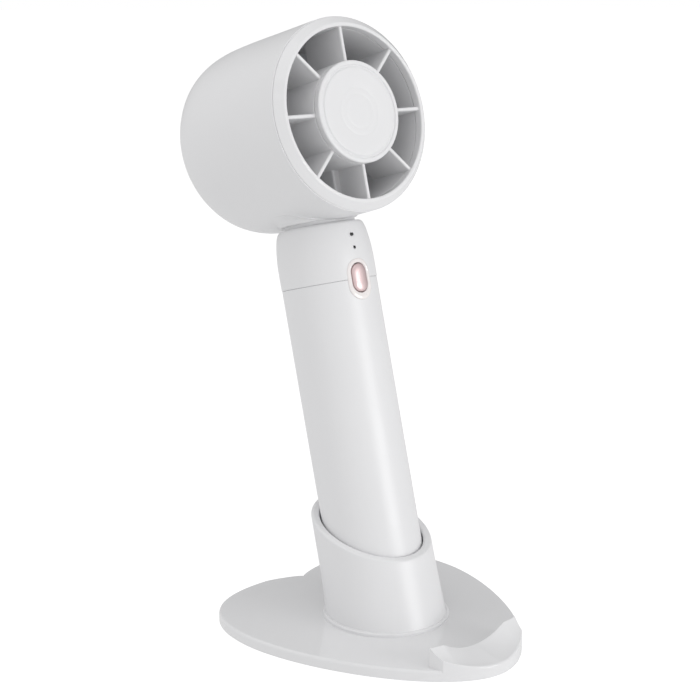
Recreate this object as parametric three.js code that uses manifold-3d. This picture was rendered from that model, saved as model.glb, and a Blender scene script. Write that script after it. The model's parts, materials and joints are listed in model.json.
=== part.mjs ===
// Handheld electric fan standing in a heart-shaped dock.
// Millimetres, +Z up. The air leaves the fan towards -Y, and x = 0 is the plane of symmetry.
import * as THREE from "three";
import { mergeVertices } from "three/addons/utils/BufferGeometryUtils.js";
import Module from "manifold-3d";

const wasm = await Module();
wasm.setup();

// ---- Driving dimensions -------------------------------------------------

const LEAN = THREE.MathUtils.degToRad(15); // the handle leans back by this much
const GAP = 0.3; // left between neighbouring pieces
const ROUND = 40; // segments of a large turned face
const MIDDLE_ROUND = 28;
const SMALL_ROUND = 14; // segments of a small turned face
const SCREW_ROUND = 8;
const WIRE_SIDES = 6;

const PLATE = { bottom: 0.3, top: 4.1, edge: 0.9 };
const HEART = { cleft: 43.1, lobeX: 15.2, lobeY: 48.4, width: 52.8, widestY: 12.7, tip: -66.2 };
const PAD = { inset: 4.5, top: 1.3 };
const LIP = { innerY: -52.2, halfWidth: 21.3, height: 11.5, scoop: 7.0, tipHeight: 4.6 };
const SLEEVE = { axisY: -7.39, bore: 18.4, rim: 21.5, foot: 22.5, floor: 11 };
const SLEEVE_CUT = { height: 38.0, slope: 0.598 }; // rim plane, on the handle's own axes
const FOOT_RING = { radius: 23.6, height: 1.3 };
const DOCK_SCREW = { head: 2.4, headHeight: 1.4, shank: 1.2, length: 5.4, circle: 13 };

const GRIP = { radius: 17.9, wall: 1.8, bottom: SLEEVE.floor + GAP, seam: 129.4 };
const TOP_SHELL = { top: 151, radius: 18.05, wall: 1.8, neckHole: 13.9 };
const BUTTON_Z = 129.6;
const BEZEL = { width: 10.4, height: 15.2, face: 18.35, z: 129.1 };
const BUTTON = { width: 6.4, height: 10.4, face: 18.75, flange: 1.8 };
const LED = { radius: 0.6, hole: 0.8, heights: [140.8, 145.6] };
const CELL = { radius: 10.6, bottom: 24, length: 70 };
const BOARD = { front: -13.0, back: -12.0, halfWidth: 7, bottom: 117, top: 147 };
const USB = { width: 8.9, height: 3.3, depth: 7.3, z: 132.9, mouth: 17.5, wall: 0.4 };
const NECK = { collar: 13.4, stub: 11.5, bore: 8.3, stubBottom: 139.8, collarBottom: 149.3 };
const CARRIER_SCREWS = [-9.9, 9.9]; // where they stand, across the handle
const DISC_FRONT = -5; // front edge of the carrier's cross walls

const HEAD = { height: 187.6, frontY: -31.65, radius: 36.1, wall: 2, back: 66.4 };
const DUCT = { radius: 31, wall: 1.4, front: 3.6, back: 60 };
const HUB = { radius: 18.5, wall: 1.6, front: 1.2, back: 27, face: -1.6 };
const VANE = { count: 8, thickness: 1.3, front: 1.0, back: 22, tipInWall: 0.3 };
const STRUT = { front: 18.5, back: 26, halfWidth: 2.2 };
const MOTOR = { tube: 4.6, tubeBore: 3.5, flange: 12, shaft: 1.5, coils: 6 };
const STATOR = { front: 33.5, back: 42.5, radius: 12.2, bore: 5, tooth: 3 };
const BELL = { radius: 15.2, wall: 1, front: 31, back: 53 };
const IMPELLER = { hub: 17.4, wall: 1.7, tip: 30.3, front: 28.5, back: 56, blades: 9 };
const GRILLE = { radius: 30.1, rim: 66.8, crown: 72.3, wall: 1.6, slots: 20 };

// ---- Materials ----------------------------------------------------------

const material = (color, roughness, metalness = 0) =>
  new THREE.MeshStandardMaterial({ color, roughness, metalness });

const white = () => material(0xf2f2f3, 0.3);
const glossWhite = () => material(0xf4f4f5, 0.15);
const innerWhite = () => material(0xd8d9dc, 0.45);
const steel = () => material(0xb9bcc0, 0.3, 1);
const copper = () => material(0xb8703a, 0.4, 1);
const dark = () => material(0x26282b, 0.5);

// ---- Solids -------------------------------------------------------------

// A closed geometry as a manifold solid. A profile may run either way, so faces are turned outwards.
function solid(geometry) {
  const bare = geometry.clone();
  bare.deleteAttribute("normal");
  bare.deleteAttribute("uv");
  const merged = mergeVertices(bare, 1e-4);
  const vertProperties = merged.attributes.position.array;
  const build = (triVerts) => new wasm.Manifold(new wasm.Mesh({ numProp: 3, vertProperties, triVerts }));
  const triVerts = new Uint32Array(merged.index.array);
  const made = build(triVerts);
  return made.volume() > 0 ? made : build(triVerts.reverse());
}

function geometryOf(made) {
  const { vertProperties, triVerts } = made.getMesh();
  const geometry = new THREE.BufferGeometry();
  geometry.setAttribute("position", new THREE.BufferAttribute(new Float32Array(vertProperties), 3));
  geometry.setIndex(new THREE.BufferAttribute(new Uint32Array(triVerts), 1));
  const flat = geometry.toNonIndexed();
  flat.computeVertexNormals();
  return flat;
}

function piece(name, made, look) {
  const mesh = new THREE.Mesh(geometryOf(made), look);
  mesh.name = name;
  return mesh;
}

const points = (pairs) => pairs.map(([x, y]) => new THREE.Vector2(x, y));
const union = (solids) => solids.reduce((sum, next) => sum.add(next));

// Turned about Y: pairs are [radius, y].
const turnedY = (pairs, segments = ROUND) =>
  solid(new THREE.LatheGeometry(points([...pairs, pairs[0]]), segments));

// Turned about Z: pairs are [radius, z].
const turnedZ = (pairs, segments = ROUND) =>
  solid(new THREE.LatheGeometry(points([...pairs, pairs[0]]), segments).rotateX(Math.PI / 2));

const ringPairs = (inner, outer, low, high) => [[inner, low], [outer, low], [outer, high], [inner, high]];
const ringY = (inner, outer, low, high, segments) => turnedY(ringPairs(inner, outer, low, high), segments);
const ringZ = (inner, outer, low, high, segments) => turnedZ(ringPairs(inner, outer, low, high), segments);

function rodZ(radius, low, high, segments = SMALL_ROUND) {
  const rod = new THREE.CylinderGeometry(radius, radius, high - low, segments);
  return solid(rod.rotateX(Math.PI / 2).translate(0, 0, (low + high) / 2));
}

function rodY(radius, low, high, segments = SMALL_ROUND, x = 0, z = 0) {
  const rod = new THREE.CylinderGeometry(radius, radius, high - low, segments);
  return solid(rod.translate(x, (low + high) / 2, z));
}

// A box from its two corners.
function box([x0, y0, z0], [x1, y1, z1]) {
  const block = new THREE.BoxGeometry(x1 - x0, y1 - y0, z1 - z0);
  return solid(block.translate((x0 + x1) / 2, (y0 + y1) / 2, (z0 + z1) / 2));
}

// An outline in X and Y raised along Z.
function raised(shape, low, high, bevel = 0, curveSegments = 9) {
  const depth = high - low - 2 * bevel;
  const options = { depth, curveSegments, bevelEnabled: bevel > 0, bevelSegments: 1 };
  Object.assign(options, { bevelSize: bevel, bevelThickness: bevel, bevelOffset: -bevel });
  return solid(new THREE.ExtrudeGeometry(shape, options).translate(0, 0, low + bevel));
}

// A slot outline, tall along its second axis, standing in the wall at BUTTON_Z and running along Y.
function slotAlongY(width, height, low, high, z) {
  const r = width / 2;
  const straight = height / 2 - r;
  const shape = new THREE.Shape();
  shape.absarc(0, straight, r, 0, Math.PI, false);
  shape.absarc(0, -straight, r, Math.PI, 2 * Math.PI, false);
  const options = { depth: high - low, bevelEnabled: false, curveSegments: 8 };
  return solid(new THREE.ExtrudeGeometry(shape, options).rotateX(Math.PI / 2).translate(0, high, z));
}

// The same, lying on its side.
const wideSlotAlongY = (width, height, low, high, z) =>
  slotAlongY(height, width, low, high, 0).rotate([0, 90, 0]).translate([0, 0, z]);

function wire(path, radius) {
  const section = new THREE.Shape().absarc(0, 0, radius, 0, 2 * Math.PI, false);
  const curve = new THREE.CatmullRomCurve3(path.map((p) => new THREE.Vector3(...p)));
  const options = { steps: 16, curveSegments: WIRE_SIDES / 2, extrudePath: curve };
  return solid(new THREE.ExtrudeGeometry(section, options));
}

// A cross-recess screw whose head lies at z = 0 and below and whose shank points up.
function screw({ head, headHeight, shank, length }) {
  const arm = head * 0.6;
  const slot = head * 0.14;
  const depth = headHeight * 0.6;
  const cross = box([-arm, -slot, -headHeight - 1], [arm, slot, depth - headHeight])
    .add(box([-slot, -arm, -headHeight - 1], [slot, arm, depth - headHeight]));
  return rodZ(head, -headHeight, 0).add(rodZ(shank, -0.5, length, SCREW_ROUND)).subtract(cross);
}

// Turned so that the shank points along +Y, which is the way the motor's screws run.
const screwAlongY = (size) => screw(size).rotate([-90, 0, 0]);

// ---- Dock ---------------------------------------------------------------

// Half the outline is three Bezier curves: cleft to lobe, lobe to flank, flank to tip.
function heartShape(inset = 0) {
  const side = HEART.width - inset;
  const lobeY = HEART.lobeY - inset;
  const tip = HEART.tip + inset;
  const cleft = HEART.cleft - inset;
  const shape = new THREE.Shape();
  shape.moveTo(0, cleft);
  shape.bezierCurveTo(2.3, cleft + 2.5, 12.5, lobeY, HEART.lobeX, lobeY);
  shape.bezierCurveTo(43 - inset, lobeY, side, 33.9, side, HEART.widestY);
  shape.bezierCurveTo(side, -16.3, 25.8 - inset, tip, 0, tip);
  shape.bezierCurveTo(inset - 25.8, tip, -side, -16.3, -side, HEART.widestY);
  shape.bezierCurveTo(-side, 33.9, inset - 43, lobeY, -HEART.lobeX, lobeY);
  shape.bezierCurveTo(-12.5, lobeY, -2.3, cleft + 2.5, 0, cleft);
  return shape;
}

// Top of the phone stop: an arc scooped out of its inner edge, falling to a flatter arc at the tip.
function lipTop(x, y) {
  const inner = Math.min(LIP.height, LIP.scoop + 0.02 * x * x);
  const outer = LIP.tipHeight + 0.0065 * x * x;
  const run = (LIP.innerY - y) / (LIP.innerY - HEART.tip);
  const fall = THREE.MathUtils.clamp(run * (1 + Math.abs(x) / 12), 0, 1);
  return THREE.MathUtils.lerp(inner, outer, fall);
}

function phoneLip() {
  const cutterHeight = 12;
  const width = 2 * LIP.halfWidth + 7.4;
  const length = LIP.innerY - HEART.tip + 4;
  const cutter = new THREE.BoxGeometry(width, length, cutterHeight, 20, 6, 1);
  cutter.translate(0, LIP.innerY - length / 2 + 1, LIP.height + cutterHeight / 2);
  const place = cutter.attributes.position;
  for (let i = 0; i < place.count; i += 1) {
    const low = place.getZ(i) < LIP.height + 1;
    if (low) place.setZ(i, lipTop(place.getX(i), Math.min(place.getY(i), LIP.innerY)));
  }
  const edge = box([-LIP.halfWidth, HEART.tip - 1, PLATE.top - 1], [LIP.halfWidth, LIP.innerY, LIP.height]);
  const body = raised(heartShape(0.2), PLATE.top - 1, LIP.height + 1).intersect(edge);
  return body.subtract(solid(cutter));
}

// Where the three dock screws stand, round the foot of the sleeve.
const dockScrewPlaces = [20, 160, 270].map((degrees) => {
  const angle = THREE.MathUtils.degToRad(degrees);
  const { circle } = DOCK_SCREW;
  return [circle * Math.cos(angle), SLEEVE.axisY + 1 + circle * Math.sin(angle)];
});
const screwHeadZ = PLATE.bottom + 2.6;

function basePlate() {
  let plate = raised(heartShape(), PLATE.bottom, PLATE.top, PLATE.edge).add(phoneLip());
  plate = plate.subtract(raised(heartShape(PAD.inset - GAP), -1, PAD.top + GAP));
  for (const [x, y] of dockScrewPlaces) {
    plate = plate.subtract(rodZ(DOCK_SCREW.shank + 0.2, 0, 6).translate([x, y, 0]));
    plate = plate.subtract(rodZ(DOCK_SCREW.head + 0.2, 0, screwHeadZ).translate([x, y, 0]));
  }
  return piece("base_plate", plate, glossWhite());
}

const footPad = () => piece("foot_pad", raised(heartShape(PAD.inset), 0, PAD.top), material(0x8d9094, 0.8));

const leaned = (made) => made.rotate([-THREE.MathUtils.radToDeg(LEAN), 0, 0]).translate([0, SLEEVE.axisY, 0]);

// Everything above the oblique rim plane of the sleeve, on the handle's own axes.
function aboveRim() {
  const size = 90;
  const angle = THREE.MathUtils.radToDeg(Math.atan(SLEEVE_CUT.slope));
  const above = box([-size, -size, 0], [size, size, size]);
  return above.rotate([angle, 0, 0]).translate([0, 0, SLEEVE_CUT.height]);
}

function sleeve() {
  const profile = [[0, -20], [SLEEVE.foot, -20], [SLEEVE.foot, 2], [SLEEVE.rim + 0.3, 16], [SLEEVE.rim, 26]];
  let cup = turnedZ([...profile, [SLEEVE.rim, 60], [0, 60]]);
  cup = cup.subtract(rodZ(SLEEVE.bore, SLEEVE.floor, 80, ROUND)).subtract(aboveRim());
  const foot = rodZ(FOOT_RING.radius, 0, PLATE.top + FOOT_RING.height, ROUND);
  let made = leaned(cup).add(foot.translate([0, SLEEVE.axisY + 1.1, 0]));
  made = made.subtract(leaned(rodZ(SLEEVE.bore, SLEEVE.floor, 80, ROUND)));
  made = made.subtract(box([-60, -60, -40], [60, 60, PLATE.top]));
  const pilotTop = screwHeadZ + DOCK_SCREW.length + GAP;
  for (const [x, y] of dockScrewPlaces) {
    made = made.subtract(rodZ(DOCK_SCREW.shank + 0.1, 0, pilotTop).translate([x, y, 0]));
  }
  return piece("sleeve", made, white());
}

function dockScrews() {
  return dockScrewPlaces.map(([x, y], i) =>
    piece(`dock_screw_${i + 1}`, screw(DOCK_SCREW).translate([x, y, screwHeadZ - 0.1]), steel()));
}

// ---- Handle, on its own axis -------------------------------------------

const buttonOpening = () =>
  slotAlongY(BEZEL.width + 2 * GAP, BEZEL.height + 2 * GAP, -22, -14, BEZEL.z);

function gripTube() {
  const { radius, wall, bottom, seam } = GRIP;
  const tube = ringZ(radius - wall, radius, bottom + 2.3, seam - GAP / 2).subtract(buttonOpening());
  return piece("grip_tube", tube, white());
}

function bottomCap() {
  const { radius, wall, bottom } = GRIP;
  const inner = radius - wall - GAP;
  const outline = [[0, bottom], [radius - 1.2, bottom], [radius, bottom + 1.2], [radius, bottom + 2]];
  const spigotIn = inner - 1.5;
  const spigot = [[inner, bottom + 2], [inner, bottom + 6], [spigotIn, bottom + 6], [spigotIn, bottom + 2.2]];
  return piece("bottom_cap", turnedZ([...outline, ...spigot, [0, bottom + 2.2]], MIDDLE_ROUND), white());
}

function topShell() {
  const { top, radius, wall, neckHole } = TOP_SHELL;
  const low = GRIP.seam + GAP / 2;
  const outside = [[radius, low], [radius, 138], [17.7, 142.5], [17.15, 146.5], [16.3, 149.9], [15.3, top]];
  const inside = [[neckHole, 149.2], [15.2, 146.4], [radius - wall, 138]];
  let shell = turnedZ([...outside, [neckHole, top], ...inside, [radius - wall, low]]);
  shell = shell.subtract(buttonOpening());
  for (const z of LED.heights) shell = shell.subtract(rodY(LED.hole, -22, -12, SMALL_ROUND, 0, z));
  const port = wideSlotAlongY(USB.width + 2 * GAP, USB.height + 2 * GAP, 14, 22, USB.z);
  return piece("top_shell", shell.subtract(port), white());
}

function bezel() {
  const skin = ringZ(TOP_SHELL.radius - TOP_SHELL.wall, BEZEL.face, BUTTON_Z - 20, BUTTON_Z + 20, 72);
  const hole = slotAlongY(BUTTON.width + 0.7, BUTTON.height + 0.7, -22, -12, BUTTON_Z);
  const oval = slotAlongY(BEZEL.width, BEZEL.height, -22, -12, BEZEL.z);
  return piece("bezel", oval.intersect(skin).subtract(hole), material(0xefe4e2, 0.25));
}

function buttonCap() {
  const { width, height, face, flange } = BUTTON;
  const round = rodZ(face, BUTTON_Z - 20, BUTTON_Z + 20, 72);
  const pill = slotAlongY(width, height, -22, -15.0, BUTTON_Z).intersect(round);
  const stop = slotAlongY(width + flange, height + flange, -15.4, -15.0, BUTTON_Z);
  return piece("button_cap", pill.add(stop), material(0xc98f80, 0.3, 0.8));
}

function switchParts() {
  const body = box([-2.5, -14.4, BUTTON_Z - 2.5], [2.5, BOARD.front - GAP, BUTTON_Z + 2.5]);
  const well = rodY(1.5, -15, -13.45, SMALL_ROUND, 0, BUTTON_Z);
  const plunger = rodY(1.2, -14.85, -14.1, SMALL_ROUND, 0, BUTTON_Z);
  return [
    piece("tact_switch", body.subtract(well), dark()),
    piece("switch_plunger", plunger, material(0xe8e4da, 0.5)),
  ];
}

function ledPipes() {
  const names = ["led_pipe_lower", "led_pipe_upper"];
  const face = [-17.75, -17.1];
  return LED.heights.map((z, i) =>
    piece(names[i], rodY(LED.radius, face[i], BOARD.front - GAP, SMALL_ROUND, 0, z), dark()));
}

function boards() {
  const { front, back, halfWidth, bottom, top } = BOARD;
  const main = box([-halfWidth, front, bottom], [halfWidth, back, top]);
  const chip = box([-2.2, front - 1.2, bottom + 1], [2.2, front - GAP, bottom + 5.4]);
  const charge = box([-5.5, 0, USB.z - 3.2], [5.5, 15, USB.z - 2]);
  const green = () => material(0x1f5a3c, 0.5);
  return [
    piece("main_board", main, green()),
    piece("driver_chip", chip, dark()),
    piece("charge_board", charge, green()),
  ];
}

function usbPort() {
  const { width, height, depth, z, mouth, wall } = USB;
  const back = mouth - depth;
  const shell = wideSlotAlongY(width, height, back, mouth, z);
  const hollow = wideSlotAlongY(width - 2 * wall, height - 2 * wall, back + 1, mouth + 1, z);
  const tongue = box([-3.1, back + 0.5, z - 0.35], [3.1, mouth - 1.8, z + 0.35]);
  return piece("usb_port", shell.subtract(hollow).add(tongue), steel());
}

function batteryCell() {
  const { radius, bottom, length } = CELL;
  const top = bottom + length;
  const profile = [[0, bottom], [radius - 0.6, bottom], [radius, bottom + 0.6], [radius, top - 0.8]];
  const crown = [[radius - 0.8, top], [4, top], [4, top + 0.6], [0, top + 0.6]];
  return piece("battery_cell", turnedZ([...profile, ...crown], 24), material(0x3c7f9c, 0.4));
}

function cellContacts() {
  const low = box([-4, -3.5, CELL.bottom - 1], [4, 3.5, CELL.bottom - GAP]);
  const top = CELL.bottom + CELL.length + 0.6;
  const high = box([-4, -3.5, top + GAP], [4, 3.5, top + 1]);
  return [piece("contact_lower", low, steel()), piece("contact_upper", high, steel())];
}

function batteryLeads() {
  const top = CELL.bottom + CELL.length;
  const climb = [[1.5, -9, top + 6], [3.5, -10.6, 112], [3.5, -11.1, 121]];
  const positive = [[0, -2.5, top + 2.4], [0, -6.4, top + 2.6], ...climb];
  const low = CELL.bottom;
  const start = [[0, -9, low - 2.6], [0, -13.2, low + 4]];
  const rise = [...start, [0, -13.4, 60], [0, -13.2, 98], [-2, -11.6, 111], [-3.5, -11.1, 121]];
  return [
    piece("battery_lead_positive", wire(positive, 0.45), material(0xb02a24, 0.5)),
    piece("battery_lead_negative", wire([[0, -2.5, low - 2], ...rise], 0.45), dark()),
  ];
}

// Half-round tray behind the cell with three cross walls. The top one takes the neck screws.
function batteryCarrier() {
  const outer = GRIP.radius - GRIP.wall - GAP;
  const inner = outer - 1.4;
  const low = 17.8;
  const high = 139.5;
  let tray = ringZ(inner, outer, low, high).subtract(box([-20, -20, 0], [20, 3, 200]));
  const wall = (bottom, top) => rodZ(inner + 0.2, bottom, top, ROUND)
    .subtract(box([-20, -20, 0], [20, DISC_FRONT, 200]));
  tray = union([tray, wall(low, low + 2), wall(98.5, 100.5), wall(high - 2.5, high)]);
  tray = tray.subtract(box([-6.2, 8, USB.z - 4.2], [6.2, 20, USB.z + 3]));
  for (const x of CARRIER_SCREWS) tray = tray.subtract(rodZ(1.0, high - 4, high + 1).translate([x, 0, 0]));
  return piece("battery_carrier", tray, innerWhite());
}

function carrierScrews() {
  const size = { head: 1.9, headHeight: 1.2, shank: 0.75, length: 9.5 };
  return CARRIER_SCREWS.map((x, i) =>
    piece(`carrier_screw_${i + 1}`, screw(size).translate([x, 0, 136.9]), steel()));
}

function motorLead() {
  const rise = [[0, -6.8, 138], [0, -6.5, 142], [0, -6.6, 150], [0, -7.4, 153.4], [0, -8.6, 156.6]];
  const path = [[0, -10.8, 131], [0, -9.4, 134.8], ...rise, [0, -9, 161], [0, -9, 172.5]];
  return piece("motor_lead", wire(path, 0.7), dark());
}

// ---- Head, on the fan's axis: y runs back from the face of the opening ---

// Turns a Z-up solid of the handle's axes into the head's axes, and the other way round.
const toHead = (made) => made.translate([0, -HEAD.frontY, -HEAD.height]);

function headShell() {
  const back = HEAD.back;
  const outside = [[0, 3.3], [35.35, 3.3], [HEAD.radius, 44], [36, 52], [35.4, 57.5], [34.2, 62]];
  const body = turnedY([...outside, [31.4, back], [0, back]]);
  const inner = HEAD.radius - HEAD.wall;
  const cavity = [[0, -1], [inner, -1], [inner, 54], [33.2, 59], [31.4, 63.5], [30.5, 64.5]];
  const collar = rodZ(NECK.collar, NECK.collarBottom, 160, MIDDLE_ROUND);
  const neck = collar.add(rodZ(NECK.stub, NECK.stubBottom, 158, MIDDLE_ROUND));
  let shell = body.add(toHead(neck)).subtract(turnedY([...cavity, [30.5, back + 1], [0, back + 1]]));
  shell = shell.subtract(toHead(rodZ(NECK.bore, NECK.stubBottom - 1, 160, MIDDLE_ROUND)));
  for (const x of CARRIER_SCREWS) {
    shell = shell.subtract(toHead(rodZ(0.9, NECK.stubBottom - 1, 147).translate([x, 0, 0])));
  }
  return piece("head_shell", shell, white());
}

function frontRing() {
  const lip = [[DUCT.radius, 0], [32.3, 0], [35.3, 3.0]];
  const spigot = [[33.8, 3.0], [33.8, 6.5], [32.8, 6.5], [32.8, 3.3], [DUCT.radius, 3.3]];
  return piece("front_ring", turnedY([...lip, ...spigot]), glossWhite());
}

const turnedToVane = (made, index) => made.rotate([0, (360 * index) / VANE.count, 0]);
const vaneNumbers = Array.from({ length: VANE.count }, (_, i) => i);

// The motor's leads run down through the strut and the duct.
const leadSlot = () => box([-1.2, 20.6, -DUCT.radius - 3], [1.2, 24.4, HUB.wall - HUB.radius + 1]);

// The duct's wall has a pocket for the tip of each vane, open to the front, and a wider one for the strut.
function airDuct() {
  const { radius, wall, front, back } = DUCT;
  const half = VANE.thickness / 2 + GAP;
  const depth = VANE.tipInWall + GAP;
  const pocket = box([radius - 1, front - 1, -half], [radius + depth, VANE.back + GAP, half]);
  const wide = STRUT.halfWidth + GAP;
  const strutPocket = box([-wide, front - 1, -radius - depth], [wide, STRUT.back + GAP, -radius + 1]);
  const pockets = vaneNumbers.map((i) => turnedToVane(pocket, i));
  const cuts = union([...pockets, strutPocket, leadSlot()]);
  return piece("air_duct", ringY(radius, radius + wall, front, back).subtract(cuts), white());
}

function frontGrille() {
  const { radius, front } = DUCT;
  const inner = HUB.radius - HUB.wall;
  const floor = HUB.back - 1.8;
  const barrelOutside = [[HUB.radius, HUB.front], [HUB.radius, HUB.back], [4.9, HUB.back]];
  const barrelInside = [[4.9, floor], [inner, floor], [inner, HUB.front]];
  const barrel = turnedY([...barrelOutside, ...barrelInside], MIDDLE_ROUND);
  const half = VANE.thickness / 2;
  const tip = radius + VANE.tipInWall;
  const root = HUB.radius - HUB.wall / 2;
  const vane = box([root, front + GAP, -half], [tip, VANE.back, half])
    .add(box([root, VANE.front, -half], [radius - GAP, front + 1, half]));
  const vanes = vaneNumbers.map((i) => turnedToVane(vane, i));
  const strut = box([-STRUT.halfWidth, STRUT.front, -tip], [STRUT.halfWidth, STRUT.back, -root]);
  let made = union([barrel, strut, ...vanes]).subtract(leadSlot());
  for (const [x, z] of motorScrewPlaces) {
    made = made.subtract(rodY(1.0, HUB.back - 3, HUB.back + 1, 12, x, z));
  }
  return piece("front_grille", made, white());
}

function hubCap() {
  const { radius, wall, face, front } = HUB;
  const inner = radius - wall - GAP;
  const groove = [[16.1, face], [16.3, face + 0.5], [16.7, face + 0.5], [16.9, face]];
  const rim = [[radius - 0.4, face], [radius, face + 0.4], [radius, front - GAP], [inner, front - GAP]];
  const spigot = [[inner, front + 3], [inner - 1.2, front + 3], [inner - 1.2, front - GAP], [0, front - GAP]];
  return piece("hub_cap", turnedY([[0, face], ...groove, ...rim, ...spigot], MIDDLE_ROUND), white());
}

const motorScrewPlaces = [30, 150, 270].map((degrees) => {
  const angle = THREE.MathUtils.degToRad(degrees);
  return [8.5 * Math.cos(angle), 8.5 * Math.sin(angle)];
});

function motorBase() {
  const { tube, tubeBore, flange } = MOTOR;
  const plate = [[tubeBore, 23.2], [flange, 23.2], [flange, 24.9]];
  const profile = [...plate, [tube, 24.9], [tube, 50], [tubeBore, 50]];
  let base = turnedY(profile, 20);
  for (const [x, z] of motorScrewPlaces) base = base.subtract(rodY(1.1, 20, 26, 12, x, z));
  return piece("motor_base", base, material(0xc9a24b, 0.35, 1));
}

function motorScrews() {
  const size = { head: 1.9, headHeight: 1.2, shank: 0.75, length: 3 };
  return motorScrewPlaces.map(([x, z], i) =>
    piece(`motor_screw_${i + 1}`, screwAlongY(size).translate([x, 23.1, z]), steel()));
}

function bearings() {
  const outer = MOTOR.tubeBore - 0.15;
  const inner = MOTOR.shaft + 0.05;
  const front = ringY(inner, outer, 26, 30, SMALL_ROUND);
  const rear = ringY(inner, outer, 45, 49, SMALL_ROUND);
  return [piece("bearing_front", front, steel()), piece("bearing_rear", rear, steel())];
}

const motorShaft = () => piece("motor_shaft", rodY(MOTOR.shaft, 24.6, 58), steel());

function statorCore() {
  const { front, back, radius, bore, tooth } = STATOR;
  const hub = ringY(bore, bore + 1.4, front, back, 24);
  const shoeRing = ringY(radius - 1.4, radius, front, back, 36);
  const parts = [hub];
  for (let i = 0; i < MOTOR.coils; i += 1) {
    const turn = [0, (360 * i) / MOTOR.coils, 0];
    parts.push(box([bore + 1, front, -tooth / 2], [radius - 1, back, tooth / 2]).rotate(turn));
    parts.push(shoeRing.intersect(box([0, front - 1, -4.6], [radius + 1, back + 1, 4.6])).rotate(turn));
  }
  return piece("stator_core", union(parts), material(0x6d7075, 0.5, 1));
}

function coils() {
  const { front, back, tooth } = STATOR;
  const half = tooth / 2 + 0.2;
  const winding = box([6.9, front - 1.4, -half - 1.1], [10.2, back + 1.4, half + 1.1])
    .subtract(box([6, front - 0.2, -half], [11, back + 0.2, half]));
  return Array.from({ length: MOTOR.coils }, (_, i) =>
    piece(`coil_${i + 1}`, winding.rotate([0, (360 * i) / MOTOR.coils, 0]), copper()));
}

function rotorBell() {
  const { radius, wall, front, back } = BELL;
  const bore = MOTOR.shaft + GAP;
  const profile = [[bore, back], [radius, back], [radius, front], [radius - wall, front]];
  const inside = [[radius - wall, back - 1.2], [bore, back - 1.2]];
  return piece("rotor_bell", turnedY([...profile, ...inside], MIDDLE_ROUND), steel());
}

function magnetRing() {
  const outer = BELL.radius - BELL.wall - 0.2;
  return piece("magnet_ring", ringY(12.6, outer, 32.5, 43.5, MIDDLE_ROUND), dark());
}

// A curved blade section swept from the hub to the tip, trimmed to the hub and to the duct.
function blade() {
  const chord = 20;
  const shape = new THREE.Shape();
  const thick = 1.3;
  shape.moveTo(0, 0);
  shape.quadraticCurveTo(chord * 0.25, chord * 0.75, chord * 0.85, chord);
  shape.lineTo(chord * 0.85 + thick, chord - 0.4);
  shape.quadraticCurveTo(chord * 0.25 + thick, chord * 0.7, thick, 0);
  const sweep = new THREE.ExtrudeGeometry(shape, { depth: 17, bevelEnabled: false, curveSegments: 4 });
  const made = solid(sweep.translate(-8, 0, 14.5)).translate([0, 31.5, 0]);
  return made.intersect(ringY(IMPELLER.hub - 0.6, IMPELLER.tip, 30, 53, 36));
}

function impeller() {
  const { hub, wall, front, back, blades } = IMPELLER;
  const bore = MOTOR.shaft + GAP;
  const outside = [[hub, front], [hub, back - 3], [hub - 2, back - 0.8], [hub - 5, back], [4, back], [4, 58]];
  const inside = [[bore, 58], [bore, back - 2], [hub - wall, back - 2 - 0.5], [hub - wall, front]];
  const parts = [turnedY([...outside, ...inside], 36)];
  for (let i = 0; i < blades; i += 1) parts.push(blade().rotate([0, (360 * i) / blades, 0]));
  return piece("impeller", union(parts), innerWhite());
}

function rearGrille() {
  const { radius, rim, crown, wall, slots } = GRILLE;
  const outside = [[radius, rim - 2], [radius, rim], [27.6, 68.8], [20, 71.2], [10, 72.1], [0, crown]];
  const inside = [[0, crown - wall], [20, 71.2 - wall], [28.2, rim - 2]];
  let made = turnedY([...outside, ...inside]);
  const slot = box([10, 60, -1.1], [26, 80, 1.1]);
  for (let i = 0; i < slots; i += 1) made = made.subtract(slot.rotate([0, (360 * i) / slots, 0]));
  return piece("rear_grille", made, white());
}

// ---- Assembly -----------------------------------------------------------

const head = new THREE.Group();
head.position.set(0, HEAD.frontY, HEAD.height);
head.add(headShell(), frontRing(), airDuct(), frontGrille(), hubCap(), motorBase(), ...motorScrews());
head.add(...bearings(), motorShaft(), statorCore(), ...coils(), rotorBell(), magnetRing());
head.add(impeller(), rearGrille());

const fan = new THREE.Group();
fan.position.set(0, SLEEVE.axisY, 0);
fan.rotation.x = -LEAN;
fan.add(gripTube(), bottomCap(), topShell(), bezel(), buttonCap(), ...switchParts(), ...ledPipes());
fan.add(...boards(), usbPort(), batteryCell(), ...cellContacts(), ...batteryLeads());
fan.add(batteryCarrier(), ...carrierScrews(), motorLead(), head);

const dock = new THREE.Group();
dock.add(basePlate(), footPad(), sleeve(), ...dockScrews());

// The origin is under the middle of the whole object's box.
const model = new THREE.Group();
model.add(dock, fan);
model.updateMatrixWorld(true);
const extent = new THREE.Box3().setFromObject(model, true);
model.position.set(0, -(extent.min.y + extent.max.y) / 2, -extent.min.z);

const part = new THREE.Group();
part.add(model);

export default part;
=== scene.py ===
import json
import math

import bmesh
import bpy
from mathutils import Matrix, Vector


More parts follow.
